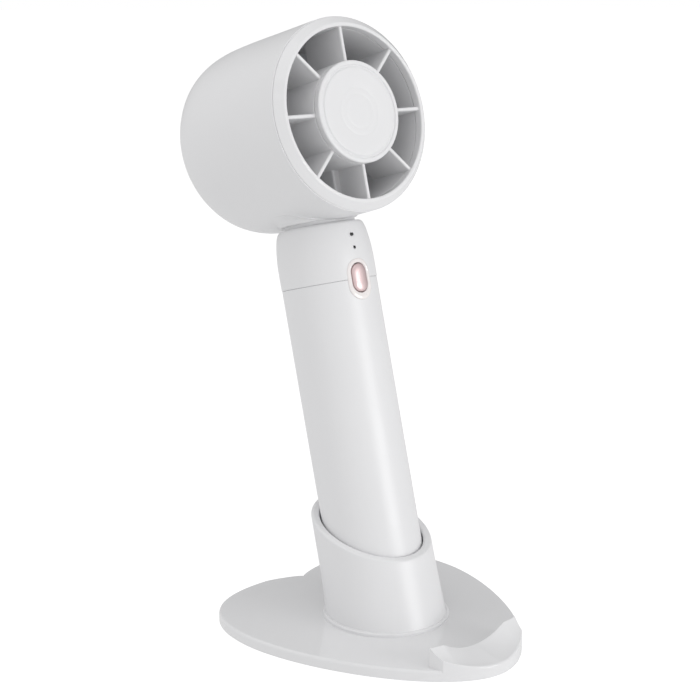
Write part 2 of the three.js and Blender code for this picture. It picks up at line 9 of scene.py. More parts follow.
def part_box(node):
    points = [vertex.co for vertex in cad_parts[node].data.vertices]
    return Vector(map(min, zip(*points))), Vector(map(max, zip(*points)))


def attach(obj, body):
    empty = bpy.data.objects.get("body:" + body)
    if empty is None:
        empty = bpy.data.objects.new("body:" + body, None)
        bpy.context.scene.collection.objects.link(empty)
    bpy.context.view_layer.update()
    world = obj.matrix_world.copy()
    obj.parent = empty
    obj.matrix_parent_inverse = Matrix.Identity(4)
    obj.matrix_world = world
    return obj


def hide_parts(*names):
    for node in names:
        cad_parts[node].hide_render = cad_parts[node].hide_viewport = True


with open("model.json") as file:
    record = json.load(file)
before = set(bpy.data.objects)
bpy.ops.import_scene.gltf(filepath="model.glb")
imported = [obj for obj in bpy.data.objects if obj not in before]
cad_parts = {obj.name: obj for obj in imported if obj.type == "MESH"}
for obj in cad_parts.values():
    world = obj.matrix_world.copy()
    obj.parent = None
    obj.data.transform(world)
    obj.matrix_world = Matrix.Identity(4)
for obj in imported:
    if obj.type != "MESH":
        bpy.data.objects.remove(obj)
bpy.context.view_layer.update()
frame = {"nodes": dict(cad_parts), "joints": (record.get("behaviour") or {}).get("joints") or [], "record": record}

# Looks of a handheld fan standing in its heart-shaped dock. Lengths below are millimetres in the
# frame that each piece is drawn in, and a frame's matrix turns them into metres in the shared frame.

# ---- Driving dimensions --------------------------------------------------

MM = 0.001
GAP = 0.3  # clearance between two pieces
ROUND = 168  # segments of a large turned face
SMALL_ROUND = 32  # segments of a small one
ARC = 7  # points of a rounded edge
FINE_ARC = 9  # points of a rounded edge on the dock
SHARP = 32  # an edge that turns by more degrees than this stays sharp

HEAD_FRONT = 31.65  # the opening's plane lies this far in front of the handle's axis
HEAD_UP = 187.6  # height of the fan's axis along the handle
HEART_TIP = -66.2
HEART = {"cleft": 43.1, "lobe_x": 15.2, "lobe_y": 48.4, "width": 52.8, "widest_y": 12.7}
HEART_PULL = {"cleft_x": 2.3, "cleft_rise": 2.5, "lobe_in": 12.5, "lobe_out": 43, "side_high": 33.9,
              "side_low": -16.3, "tip": 25.8}  # where the outline's curves head for between its points
HEART_SHARES = (0.3, 1, 1.4)  # how its points are shared out over the three curves
PLATE = {"bottom": 0.05, "top": 4.1, "round": 1.1, "foot": 0.35}
PAD = {"inset": 4.5, "top": 1.3}
LIP = {"inner_y": -52.2, "half": 21.3, "height": 11.5, "scoop": 7.0, "tip": 4.4, "foot": 1.6,
       "turn_x": 19.8, "turn_y": -57.4, "turn_round": 0.9, "inner_rise": 0.02, "outer_rise": 0.0065,
       "settle": 9, "inner_round": 0.7, "outer_round": 0.9, "spacing": 0.5}
SLEEVE = {"axis_y": -7.39, "bore": 18.4, "rim": 21.5, "foot": 22.5, "floor": 11.0, "sunk": 1.2}
SLEEVE_TAPER = ((0.3, 8, 16), (0.05, 12, 24))  # beyond the rim's radius, above the foot, least height
RIM_CUT = {"height": 38.0, "slope": 0.598}
FOOT_RING = {"radius": 23.6, "height": 1.3, "behind": 1.1, "sunk": 1.5}
SEAM = 0.06  # what shows of a closed joint between two shells
GRIP = {"radius": 17.9, "wall": 1.8, "bottom": 11.3, "seam": 129.4, "above_cap": 2.4}
BOTTOM_CAP = {"flange": 2, "base": 2.2, "plug": 6, "wall": 1.5}
TOP_SHELL = {"top": 151.0, "radius": 18.05, "wall": 1.8, "hole": 13.9}
BUTTON_Z = 129.6
BEZEL = {"width": 10.4, "height": 15.2, "face": 18.35, "z": 129.1, "back": 16.4, "slack": 0.7}
BUTTON = {"width": 6.4, "height": 10.4, "face": 18.75, "back": 16.6, "crown": 0.75, "bulge": 1.3}
FRONT_CUT, BACK_CUT = (-22, -13), (13, 22)  # spans through the handle's front and back wall
LED = {"radius": 0.6, "heights": (140.8, 145.6), "face": -18.02, "edge": -17.9, "back": -15.0,
       "cut": (-22, -12)}
USB = {"width": 8.9, "height": 3.3, "depth": 7.3, "z": 132.9, "mouth": 17.5, "wall": 0.4,
       "tongue": (6.4, 0.7)}
NECK = {"radius": 13.4, "bottom": 149.3, "top": 156.0, "collar": 14.7, "lowest": 152.5, "flare": 4.0,
        "spread": 1.8, "steps": 9}
HEAD = {"radius": 36.1, "front": 3.04, "back": 66.4, "wall": 2.0}
DUCT = {"radius": 31.0, "wall": 1.4, "front": 3.6, "back": 60.0}
HUB = {"radius": 18.5, "wall": 1.6, "front": 1.2, "back": 27.0, "face": -1.6}
VANE = {"count": 8, "half": 0.7, "front": 1.0, "back": 22.0, "taper": 0.72}
VANE_FLARE = ((18.2, 0.22), (18.6, 0.12), (19.0, 0.04), (19.5, 0.0), (24.5, 0.0), (30.2, 0.0),
              (30.6, 0.04), (30.9, 0.12), (31.1, 0.22))  # radius, and how much thicker it is there
STRUT = {"front": 15.0, "back": 26.0, "half": 3.3}
STRUT_FLARE = ((18.0, 0.5), (18.8, 0.15), (19.8, 0.0), (29.6, 0.0), (30.4, 0.2), (31.1, 0.7))
IMPELLER = {"hub": 17.4, "wall": 1.7, "tip": 30.3, "front": 28.5, "back": 56.0, "blades": 9}
BLADE = {"root": 16.9, "front": 30.5, "back": 52.5, "stagger": 33, "twist": 20, "thick": 1.5,
         "thinning": 0.7, "sweep": 0.62, "camber": 3.2, "stations": 9, "points": 11}
GRILLE = {"radius": 30.1, "rim": 66.8, "crown": 72.3, "wall": 1.6, "slots": 20, "half_slot": 1.1,
          "start": 10.0, "end": 26.0, "tip": 0.2, "ribs": 5}

# ---- Frames --------------------------------------------------------------

joints = {j["name"]: j for j in frame["joints"]}
up = Vector(joints["dock_lift"]["axis"]).normalized()
rear = -Vector(joints["impeller_spin"]["axis"]).normalized()
head_point = Vector(joints["impeller_spin"]["pos_m"])


def local_frame(origin):
    """Matrix of a frame whose axes are across, to the rear and up the handle, in millimetres."""
    columns = (Vector((1, 0, 0)) * MM, rear * MM, up * MM, origin)
    return Matrix([[column[row] for column in columns] for row in range(3)] + [[0, 0, 0, 1]])


IN_HEAD = local_frame(head_point)
IN_HANDLE = local_frame(head_point + rear * HEAD_FRONT * MM - up * HEAD_UP * MM)
dock_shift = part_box("base_plate")[0].y - HEART_TIP * MM
IN_DOCK = Matrix.Translation((0, dock_shift, 0)) @ Matrix.Diagonal((MM, MM, MM, 1))

# ---- Outlines ------------------------------------------------------------

FLAT, FOLDED = math.radians(176), math.radians(4)  # corners beyond these are left as they are
REACH = 0.46  # the most of a side that one rounding takes
HOLD = 0.08  # how far beyond the rounding its close point lies, at most

def corner_arc(before, corner, after, radius, count):
    """Points that round one corner, with a close one beyond each end to hold the flats flat."""
    a = Vector(before) - Vector(corner)
    b = Vector(after) - Vector(corner)
    la, lb = a.length, b.length
    if la < 1e-6 or lb < 1e-6:
        return [tuple(corner)]
    a.normalize()
    b.normalize()
    angle = a.angle(b)
    if angle > FLAT or angle < FOLDED:
        return [tuple(corner)]
    reach = min(radius / math.tan(angle / 2), REACH * la, REACH * lb)
    radius = reach * math.tan(angle / 2)
    c = Vector(corner)
    centre = c + (a + b).normalized() * (radius / math.sin(angle / 2))
    start, end = c + a * reach - centre, c + b * reach - centre
    turn = start.angle(end)
    hold = min(HOLD, 0.1 * min(la, lb))
    points = [c + a * (reach + hold)]
    for i in range(count):
        t = i / (count - 1)
        w0 = math.sin((1 - t) * turn) / math.sin(turn)
        w1 = math.sin(t * turn) / math.sin(turn)
        points.append(centre + start * w0 + end * w1)
    points.append(c + b * (reach + hold))
    return [tuple(p) for p in points]


def rounded(corners, closed=True, count=ARC):
    """An outline of 2-D points; a third number in a corner is the radius that rounds it."""
    out = []
    total = len(corners)
    for i, corner in enumerate(corners):
        inside = closed or 0 < i < total - 1
        if len(corner) < 3 or not inside:
            out.append((corner[0], corner[1]))
            continue
        before, after = corners[(i - 1) % total][:2], corners[(i + 1) % total][:2]
        out += corner_arc(before, corner[:2], after, corner[2], count)
    return out


def smooth_line(points, steps=6):
    """A smooth line through 2-D points."""
    out = []
    padded = [points[0], *points, points[-1]]
    for i in range(1, len(padded) - 2):
        p0, p1, p2, p3 = (Vector(p) for p in padded[i - 1:i + 3])
        for k in range(steps):
            t = k / steps
            out.append(tuple(0.5 * ((2 * p1) + (p2 - p0) * t + (2 * p0 - 5 * p1 + 4 * p2 - p3) * t * t
                                    + (3 * p1 - p0 - 3 * p2 + p3) * t ** 3)))
    out.append(tuple(points[-1]))
    return out


def pill(width, height, per_arc=14, per_side=6):
    """Points round a slot outline, tall along its second axis."""
    r = width / 2
    straight = height / 2 - r
    out = []
    for centre, start in ((straight, 0.0), (-straight, math.pi)):
        for i in range(per_arc):
            a = start + math.pi * i / (per_arc - 1)
            out.append((r * math.cos(a), centre + r * math.sin(a)))
        side = -r if centre > 0 else r
        for i in range(1, per_side):
            out.append((side, centre * (1 - 2 * i / per_side)))
    return out


def bezier(p0, p1, p2, p3, steps):
    """Points along a cubic curve, all but its last one."""
    for i in range(steps):
        t = i / steps
        s = 1 - t
        weights = (s ** 3, 3 * s * s * t, 3 * s * t * t, t ** 3)
        yield sum((Vector(p) * w for p, w in zip((p0, p1, p2, p3), weights)), Vector((0, 0)))


def heart_outline(steps=44):
    """The dock's outline from the cleft, round by the right to the tip and back by the left."""
    h, pull = HEART, HEART_PULL
    lobe, widest = (h["lobe_x"], h["lobe_y"]), (h["width"], h["widest_y"])
    rise = h["cleft"] + pull["cleft_rise"]
    right = [
        ((0, h["cleft"]), (pull["cleft_x"], rise), (pull["lobe_in"], h["lobe_y"]), lobe),
        (lobe, (pull["lobe_out"], h["lobe_y"]), (h["width"], pull["side_high"]), widest),
        (widest, (h["width"], pull["side_low"]), (pull["tip"], HEART_TIP), (0, HEART_TIP)),
    ]
    points = []
    for piece, share in zip(right, HEART_SHARES):
        points += list(bezier(*piece, int(steps * share)))
    mirrored = [Vector((-p.x, p.y)) for p in reversed(points[1:])]
    return points + [Vector((0, HEART_TIP))] + mirrored


def inset_outline(points, distance):
    """The outline moved inwards along its normals."""
    out = []
    total = len(points)
    for i, p in enumerate(points):
        before, after = (p - points[i - 1]).normalized(), (points[(i + 1) % total] - p).normalized()
        n0, n1 = Vector((before.y, -before.x)), Vector((after.y, -after.x))
        middle = (n0 + n1).normalized()
        out.append(p + middle * distance / max(0.5, middle.dot(n0)))
    return out


# ---- Meshes --------------------------------------------------------------


def mesh_object(name, verts, faces, matrix, sharp=SHARP):
    mesh = bpy.data.meshes.new(name)
    mesh.from_pydata([tuple(matrix @ Vector(v)) for v in verts], [], faces)
    obj = bpy.data.objects.new(name, mesh)
    bpy.context.scene.collection.objects.link(obj)
    tidy(obj, sharp)
    return obj


def tidy(obj, sharp=SHARP):
    """Merges doubled points, turns the faces outwards and shades them smooth up to an angle."""
    bm = bmesh.new()
    bm.from_mesh(obj.data)
    bmesh.ops.remove_doubles(bm, verts=bm.verts, dist=1e-7)
    bmesh.ops.recalc_face_normals(bm, faces=bm.faces)
    bm.to_mesh(obj.data)
    bm.free()
    obj.data.shade_smooth()
    obj.data.set_sharp_from_angle(angle=math.radians(sharp))


def apply_modifiers(obj):
    graph = bpy.context.evaluated_depsgraph_get()
    made = bpy.data.meshes.new_from_object(obj.evaluated_get(graph))
    obj.modifiers.clear()
    obj.data = made
    tidy(obj)


def cut(obj, *cutters):
    for cutter in cutters:
        step = obj.modifiers.new("cut", "BOOLEAN")
        step.operation = "DIFFERENCE"
        step.solver = "EXACT"
        step.object = cutter
    apply_modifiers(obj)
    for cutter in cutters:
        bpy.data.objects.remove(cutter)


def soften(obj, width, segments=2, angle=40):
    """Rounds the edges that turn by more than an angle."""
    step = obj.modifiers.new("edge", "BEVEL")
    step.width = width * MM
    step.segments = segments
    step.limit_method = "ANGLE"
    step.angle_limit = math.radians(angle)
    step.harden_normals = False
    apply_modifiers(obj)


def join(name, objects):
    """One piece made of several, whose points are left as they are."""
    bm = bmesh.new()
    for o in objects:
        bm.from_mesh(o.data)
        bpy.data.objects.remove(o)
    mesh = bpy.data.meshes.new(name)
    bm.to_mesh(mesh)
    bm.free()
    obj = bpy.data.objects.new(name, mesh)
    bpy.context.scene.collection.objects.link(obj)
    obj.data.shade_smooth()
    obj.data.set_sharp_from_angle(angle=math.radians(SHARP))
    return obj


def skin(rings, closed_rings=True, closed_stack=False, cap_first=False, cap_last=False):
    """Faces between rings of points, each ring as long as the next. Returns points and faces."""
    verts = [tuple(p) for ring in rings for p in ring]
    size = len(rings[0])
    faces = []
    stack = len(rings) if closed_stack else len(rings) - 1
    for i in range(stack):
        a, b = i * size, ((i + 1) % len(rings)) * size
        for k in range(size if closed_rings else size - 1):
            n = (k + 1) % size
            faces.append((a + k, a + n, b + n, b + k))
    if cap_first:
        faces.append(tuple(range(size))[::-1])
    if cap_last:
        faces.append(tuple(range((len(rings) - 1) * size, len(rings) * size)))
    return verts, faces


def turned(name, outline, matrix, axis="Z", around=ROUND):
    """A closed outline of (radius, along) turned about Z, or about Y as the head's pieces are."""
    verts, faces, rings = [], [], []
    for radius, along in outline:
        count = 1 if radius < 1e-5 else around
        rings.append((len(verts), count))
        for k in range(count):
            a = 2 * math.pi * k / around
            c, s = radius * math.cos(a), radius * math.sin(a)
            verts.append((c, s, along) if axis == "Z" else (c, along, s))
    for i, (a, na) in enumerate(rings):
        b, nb = rings[(i + 1) % len(rings)]
        if na == nb == 1:
            continue
        for k in range(around):
            n = (k + 1) % around
            if na == 1:
                faces.append((a, b + n, b + k))
            elif nb == 1:
                faces.append((a + k, a + n, b))
            else:
                faces.append((a + k, a + n, b + n, b + k))
    return mesh_object(name, verts, faces, matrix)


def finished(obj, look, body, slot, *nodes):
    """Gives a piece its look and its body, and hides the nodes that it stands for. The slot argument is not used.
    """
    obj.data.materials.clear()
    obj.data.materials.append(look)
    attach(obj, body)
    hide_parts(*nodes)
    return obj


# ---- Materials -----------------------------------------------------------

EDGE = (0.56, 0.68)  # pointiness at which an edge begins and is full
TONE = 0.012  # how far a plastic's colour drifts either way

class Shader:
    """A small helper that lays out the nodes of one material."""

    def __init__(self, name):
        self.material = bpy.data.materials.new(name)
        self.material.use_nodes = True
        self.tree = self.material.node_tree
        self.bsdf = self.tree.nodes["Principled BSDF"]
        self.coords = self.tree.nodes.new("ShaderNodeTexCoord").outputs["Object"]

    def node(self, kind, **inputs):
        made = self.tree.nodes.new(kind)
        for key, value in inputs.items():
            socket = made.inputs[int(key[1:])] if key[0] == "i" and key[1:].isdigit() else made.inputs[key]
            if isinstance(value, bpy.types.NodeSocket):
                self.tree.links.new(value, socket)
            else:
                socket.default_value = value
        return made

    def noise(self, scale, detail=2.0, rough=0.5, coords=None):
        return self.node("ShaderNodeTexNoise", Vector=coords or self.coords, Scale=scale,
                         Detail=detail, Roughness=rough).outputs["Fac"]

    def stretch(self, factor):
        """Coordinates squeezed along the axes, for grain that runs one way."""
        made = self.node("ShaderNodeMapping", Vector=self.coords)
        made.inputs["Scale"].default_value = factor
        return made.outputs["Vector"]

    def ranged(self, value, low, high, start=0.0, end=1.0):
        made = self.node("ShaderNodeMapRange", Value=value)
        for key, number in (("From Min", start), ("From Max", end), ("To Min", low), ("To Max", high)):
            made.inputs[key].default_value = number
        return made.outputs["Result"]

    def mixed(self, fac, a, b):
        made = self.tree.nodes.new("ShaderNodeMix")
        made.data_type = "RGBA"
        self.tree.links.new(fac, made.inputs[0])
        for socket, value in ((made.inputs[6], a), (made.inputs[7], b)):
            if isinstance(value, bpy.types.NodeSocket):
                self.tree.links.new(value, socket)
            else:
                socket.default_value = (*value, 1)
        return made.outputs[2]

    def edges(self):
        """1 on convex edges, 0 elsewhere."""
        pointed = self.tree.nodes.new("ShaderNodeNewGeometry").outputs["Pointiness"]
        return self.ranged(pointed, 0.0, 1.0, *EDGE)

    def put(self, socket, value):
        if isinstance(value, bpy.types.NodeSocket):
            self.tree.links.new(value, self.bsdf.inputs[socket])
        else:
            self.bsdf.inputs[socket].default_value = value

    def bump(self, height, distance, strength=1.0):
        made = self.node("ShaderNodeBump", Height=height, Distance=distance, Strength=strength)
        self.put("Normal", made.outputs["Normal"])


def scaled(colour, factor):
    return tuple(min(1.0, c * factor) for c in colour)


def moulded(name, colour, rough, spread, grain, depth, coat=0.0, wear=0.5):
    """Moulded plastic: slight tone drift, uneven gloss, a fine grain and edges polished by handling."""
    s = Shader(name)
    drift = s.noise(28.0, 3.0)
    base = s.mixed(drift, scaled(colour, 1 - TONE), scaled(colour, 1 + TONE))
    edge = s.edges()
    s.put("Base Color", s.mixed(edge, base, scaled(colour, 1 + 0.06 * wear)))
    patchy = s.ranged(s.noise(60.0, 4.0, 0.6), rough - spread, rough + spread, 0.2, 0.8)
    smoother = s.node("ShaderNodeMath", i0=patchy, i1=s.ranged(edge, 0.0, 0.3 * rough * wear))
    smoother.operation = "SUBTRACT"
    s.put("Roughness", smoother.outputs[0])
    s.put("Metallic", 0.0)
    s.put("IOR", 1.5)
    s.put("Coat Weight", coat)
    s.put("Coat Roughness", 0.04)
    s.bump(s.noise(grain, 2.0), depth)
    return s.material


def metallic(name, colour, rough, stretch=(1, 1, 14), grain=900.0, depth=3e-6):
    """Turned or drawn metal, with fine lines and a little tarnish."""
    s = Shader(name)
    lines = s.noise(grain, 4.0, 0.6, s.stretch(stretch))
    stain = s.ranged(s.noise(120.0, 5.0, 0.65), 0.0, 1.0, 0.35, 0.75)
    s.put("Base Color", s.mixed(stain, scaled(colour, 1.04), scaled(colour, 0.8)))
    s.put("Metallic", 1.0)
    s.put("Roughness", s.ranged(lines, rough - 0.08, rough + 0.12, 0.3, 0.7))
    s.bump(lines, depth)
    return s.material


def lacquered(name, colour, deep, rough):
    """Metallised lacquer with a pearly flake."""
    s = Shader(name)
    flake = s.node("ShaderNodeTexVoronoi", Vector=s.coords, Scale=9000.0).outputs["Distance"]
    facing = s.node("ShaderNodeLayerWeight", Blend=0.35).outputs["Facing"]
    drift = s.noise(200.0, 3.0)
    base = s.mixed(facing, colour, deep)
    s.put("Base Color", s.mixed(s.ranged(drift, 0.0, 0.25), base, scaled(colour, 1.06)))
    s.put("Metallic", 0.6)
    s.put("Roughness", s.ranged(flake, rough, rough + 0.08, 0.0, 0.6))
    s.put("Coat Weight", 0.12)
    s.put("Coat Roughness", 0.15)
    s.bump(flake, 1.5e-6, 0.6)
    return s.material


def rubber(name, colour, rough=0.75):
    s = Shader(name)
    grains = s.node("ShaderNodeTexVoronoi", Vector=s.coords, Scale=2200.0).outputs["Distance"]
    dust = s.noise(70.0, 4.0, 0.6)
    s.put("Base Color", s.mixed(s.ranged(dust, 0.0, 0.5, 0.45, 0.8), colour, scaled(colour, 1.5)))
    s.put("Roughness", s.ranged(dust, rough - 0.08, rough + 0.12, 0.3, 0.7))
    s.bump(grains, 2.5e-5, 0.7)
    return s.material


def solder_mask(name, colour):
    s = Shader(name)
    tracks = s.node("ShaderNodeTexBrick", Vector=s.coords, Scale=320.0)
    tracks.inputs["Mortar Size"].default_value = 0.05
    s.put("Base Color", s.mixed(tracks.outputs["Fac"], colour, scaled(colour, 1.7)))
    s.put("Roughness", s.ranged(s.noise(160.0, 3.0), 0.25, 0.42))
    s.bump(tracks.outputs["Fac"], 2e-5, 0.5)
    return s.material


def laminated(name, colour):
    s = Shader(name)
    sheets = s.node("ShaderNodeTexWave", Vector=s.coords, Scale=300.0)
    s.put("Base Color", s.mixed(sheets.outputs["Fac"], scaled(colour, 0.7), colour))
    s.put("Metallic", 0.8)
    s.put("Roughness", s.ranged(s.noise(400.0, 3.0), 0.35, 0.6))
    s.bump(sheets.outputs["Fac"], 3e-5, 0.6)
    return s.material


WHITE = (0.80, 0.80, 0.81)
looks = {
    "gloss_white": moulded("gloss_white", WHITE, 0.04, 0.015, grain=900.0, depth=6e-7, wear=0.2),
    "satin_white": moulded("satin_white", WHITE, 0.35, 0.05, grain=3200.0, depth=1.6e-6),
    "pad_rubber": rubber("pad_rubber", (0.26, 0.265, 0.28)),
    "pearl": moulded("pearl", (0.88, 0.84, 0.83), 0.2, 0.04, grain=2400.0, depth=1e-6, coat=0.3),
    "rose_gold": lacquered("rose_gold", (0.80, 0.63, 0.63), (0.44, 0.33, 0.33), 0.3),
    "inner_plastic": moulded("inner_plastic", (0.62, 0.62, 0.65), 0.5, 0.08, grain=1800.0, depth=6e-6),
    "fan_plastic": moulded("fan_plastic", (0.52, 0.53, 0.55), 0.42, 0.08, grain=1500.0, depth=5e-6),
    "cell_wrap": moulded("cell_wrap", (0.03, 0.17, 0.32), 0.22, 0.06, grain=700.0, depth=5e-6),
    "brass": metallic("brass", (0.78, 0.57, 0.25), 0.28),
    "lamination": laminated("lamination", (0.32, 0.33, 0.35)),
    "magnet": moulded("magnet", (0.05, 0.05, 0.055), 0.55, 0.1, grain=1200.0, depth=1e-5),
    "board_green": solder_mask("board_green", (0.012, 0.11, 0.05)),
    "black_plastic": moulded("black_plastic", (0.02, 0.02, 0.023), 0.4, 0.08, grain=2000.0, depth=5e-6),
    "indicator": moulded("indicator", (0.006, 0.006, 0.007), 0.15, 0.03, grain=3000.0, depth=5e-7),
    "red_wire": rubber("red_wire", (0.45, 0.02, 0.015), 0.5),
    "black_wire": rubber("black_wire", (0.015, 0.015, 0.018), 0.5),
    "steel": metallic("steel", (0.62, 0.63, 0.65), 0.26),
    "copper": metallic("copper", (0.80, 0.40, 0.22), 0.3, stretch=(1, 14, 1), grain=1600.0, depth=2e-5),
}

# ---- Dock ----------------------------------------------------------------


def plate_rings(outline, steps):
    return [[(p.x, p.y, z) for p in inset_outline(outline, inset)] for inset, z in steps]


def build_plate():
    low, top, edge, foot = (PLATE[k] for k in ("bottom", "top", "round", "foot"))
    recess = PAD["inset"] - GAP
    steps = rounded([(recess, PAD["top"] + GAP), (recess, low, 0.2), (0, low, foot),
                     (0, top, edge), (edge + 1.2, top)], closed=False, count=FINE_ARC)
    verts, faces = skin(plate_rings(heart_outline(), steps), cap_first=True, cap_last=True)
    return mesh_object("plate", verts, faces, IN_DOCK, 25)


def lip_top(x, y):
    """Height of the stop's scooped top, which falls from its inner to its outer edge."""
    inner = min(LIP["height"], LIP["scoop"] + LIP["inner_rise"] * x * x)
    outer = LIP["tip"] + LIP["outer_rise"] * x * x
    run = (LIP["inner_y"] - y) / (LIP["inner_y"] - HEART_TIP)
    fall = 1 - (1 - max(0.0, min(1.0, run))) ** (1 + abs(x) / LIP["settle"])
    return inner + (outer - inner) * fall


def lip_edge():
    """The stop's outer edge: an end face, the heart's outline round the tip, the other end face."""
    turn_x, turn_y, turn_round = (LIP[k] for k in ("turn_x", "turn_y", "turn_round"))
    inside = [p for p in heart_outline(80) if p.y < turn_y - 0.5 and abs(p.x) < turn_x - 0.3]
    around = sorted(((p.x, p.y) for p in inside), key=lambda p: p[0])
    half, inner = LIP["half"], LIP["inner_y"]
    line = rounded([(-half, inner), (-turn_x, turn_y, turn_round), *around, (turn_x, turn_y, turn_round),
                    (half, inner)], closed=False, count=FINE_ARC)
    dense = []
    for a, b in zip(line, line[1:]):
        parts = max(1, int(math.dist(a, b) / LIP["spacing"]))
        dense += [(a[0] + (b[0] - a[0]) * k / parts, a[1] + (b[1] - a[1]) * k / parts)
                  for k in range(parts)]
    return [*dense, line[-1]]


def build_lip():
    """The phone stop, as sections across it from one end face to the other."""
    sections = []
    shares = (0.16, 0.24, 0.32, 0.4, 0.48, 0.56, 0.64, 0.72, 0.8, 0.86)
    inner, foot = LIP["inner_y"], LIP["foot"]
    for x, y in lip_edge():
        width = max(0.02, inner - y)
        y = inner - width
        samples = [(inner - width * t, lip_top(x, inner - width * t)) for t in shares]
        ends = (inner, lip_top(x, inner)), (y, lip_top(x, y))
        inside = corner_arc((inner, foot), ends[0], samples[0], min(LIP["inner_round"], 0.3 * width), ARC)
        outside = corner_arc(samples[-1], ends[1], (y, foot), min(LIP["outer_round"], 0.3 * width), ARC)
        full = ARC + 2
        inside += [inside[-1]] * (full - len(inside))
        outside += [outside[-1]] * (full - len(outside))
        section = [(inner, foot), *inside, *samples, *outside, (y, foot)]
        sections.append([(x, a, b) for a, b in section])
    verts, faces = skin(sections, cap_first=True, cap_last=True)
    return mesh_object("lip", verts, faces, IN_DOCK, 40)


def build_sleeve():
    """The leaning cup: its wall follows the plate at the foot and the oblique plane at the rim."""
    lean = math.atan2(up.y, up.z)
    sunk = PLATE["top"] - SLEEVE["sunk"]
    bore, rim, foot_radius, floor = (SLEEVE[k] for k in ("bore", "rim", "foot", "floor"))
    rings = []
    for k in range(ROUND):
        a = 2 * math.pi * k / ROUND
        c, s = math.cos(a), math.sin(a)
        middle, foot = ((sunk + math.sin(lean) * r * s) / math.cos(lean) for r in (0.0, foot_radius))
        rim_out, rim_in = (RIM_CUT["height"] + RIM_CUT["slope"] * r * s for r in (rim, bore))
        outline = [
            (0.0, middle), (foot_radius, foot), (foot_radius - 0.25, foot + 3.5),
            *[(rim + more, max(foot + rise, least)) for more, rise, least in SLEEVE_TAPER],
            (rim, rim_out, 1.0), (bore, rim_in, 0.8), (bore, floor, 0.5), (0.0, floor),
        ]
        rings.append([(r * c, r * s, z) for r, z in rounded(outline, closed=False)])
    verts, faces = skin(rings, closed_rings=False, closed_stack=True)
    return mesh_object("cup", verts, faces, IN_HANDLE)


def build_foot_ring():
    low, high = PLATE["top"] - FOOT_RING["sunk"], PLATE["top"] + FOOT_RING["height"]
    r = FOOT_RING["radius"]
    outline = rounded([(0, low), (r, low), (r, high, 0.6), (0, high)])
    centre = Matrix.Translation((0, (SLEEVE["axis_y"] + FOOT_RING["behind"]) * MM, 0))
    return turned("foot_ring", outline, centre @ IN_DOCK)


def build_pad():
    edge, top = PAD["inset"], PAD["top"]
    steps = rounded([(edge + 2, 0), (edge, 0, 0.5), (edge, top, 0.2), (edge + 2, top)], closed=False)
    verts, faces = skin(plate_rings(heart_outline(), steps), cap_first=True, cap_last=True)
    return mesh_object("foot_pad_piece", verts, faces, IN_DOCK)


dock_body = join("dock_plate", [build_plate(), build_lip()])
finished(dock_body, looks["gloss_white"], "dock", "gloss_white", "base_plate")
cup = join("dock_sleeve", [build_sleeve(), build_foot_ring()])
finished(cup, looks["satin_white"], "dock", "satin_white", "sleeve")
finished(build_pad(), looks["pad_rubber"], "dock", "pad_rubber", "foot_pad")

# ---- Handle --------------------------------------------------------------


def slot_cutter(width, height, low, high, z, flat=False):
    """A slot that cuts through the wall along Y at a height on the handle."""
    outline = [(v, u) for u, v in pill(height, width)] if flat else pill(width, height)
    rings = [[(u, y, z + v) for u, v in outline] for y in (low, high)]
    verts, faces = skin(rings, cap_first=True, cap_last=True)
    return mesh_object("cutter", verts, faces, IN_HANDLE)


def button_cutter():
    return slot_cutter(BEZEL["width"] + SEAM, BEZEL["height"] + SEAM, *FRONT_CUT, BEZEL["z"])


def build_grip():
    r, wall = GRIP["radius"], GRIP["wall"]
    low, high = GRIP["bottom"] + GRIP["above_cap"], GRIP["seam"] - SEAM / 2
    outline = rounded([(r, low, 0.3), (r, high, 0.25), (r - wall, high, 0.2), (r - wall, low, 0.2)])
    grip = turned("grip", outline, IN_HANDLE)
    cut(grip, button_cutter())
    return grip


def build_top_shell():
    r, wall, top = TOP_SHELL["radius"], TOP_SHELL["wall"], TOP_SHELL["top"]
    low = GRIP["seam"] + SEAM / 2
    shoulder = smooth_line([(r, 136.0), (r - 0.02, 138.5), (17.72, 142.5), (17.2, 146.3), (16.75, 148.4),
                            (16.4, 149.5), (15.95, 150.4), (15.2, top - 0.02)], 6)
    outline = [(r - wall, low, 0.1), (r, low, 0.25), *shoulder, (TOP_SHELL["hole"], top, 0.2),
               (TOP_SHELL["hole"], top - 1.8), (15.2, 146.4), (r - wall, 138)]
    shell = turned("shell", rounded(outline), IN_HANDLE)
    led = LED["radius"] + SEAM
    near, deep = LED["cut"]
    holes = [turned("hole", [(0, near), (led, near), (led, deep), (0, deep)],
                    IN_HANDLE @ Matrix.Translation((0, 0, z)), "Y", SMALL_ROUND) for z in LED["heights"]]
    port = slot_cutter(USB["width"] + 2 * GAP, USB["height"] + 2 * GAP, *BACK_CUT, USB["z"], flat=True)
    cut(shell, button_cutter(), *holes, port)
    return shell


def wrapped(outline, radius, z):
    """Outline points laid on the handle's front at a radius from its axis."""
    return [(u, -math.sqrt(max(0.0, radius * radius - u * u)), z + v) for u, v in outline]


def pill_stack(name, width, height, steps, hollow=False, around=BUTTON_Z, shorten=1, rise=0):
    """Rings of a slot outline laid on the handle; steps are (inset, radius from the axis).

    Each millimetre of inset moves the outline's ends in by shorten and its middle up by rise.
    """
    rings = []
    for inset, radius in steps:
        outline = pill(width - 2 * inset, height - 2 * (inset * shorten))
        rings.append(wrapped(outline, radius, around + rise * inset))
    verts, faces = skin(rings, closed_stack=hollow, cap_last=not hollow, cap_first=not hollow)
    return mesh_object(name, verts, faces, IN_HANDLE, 35)


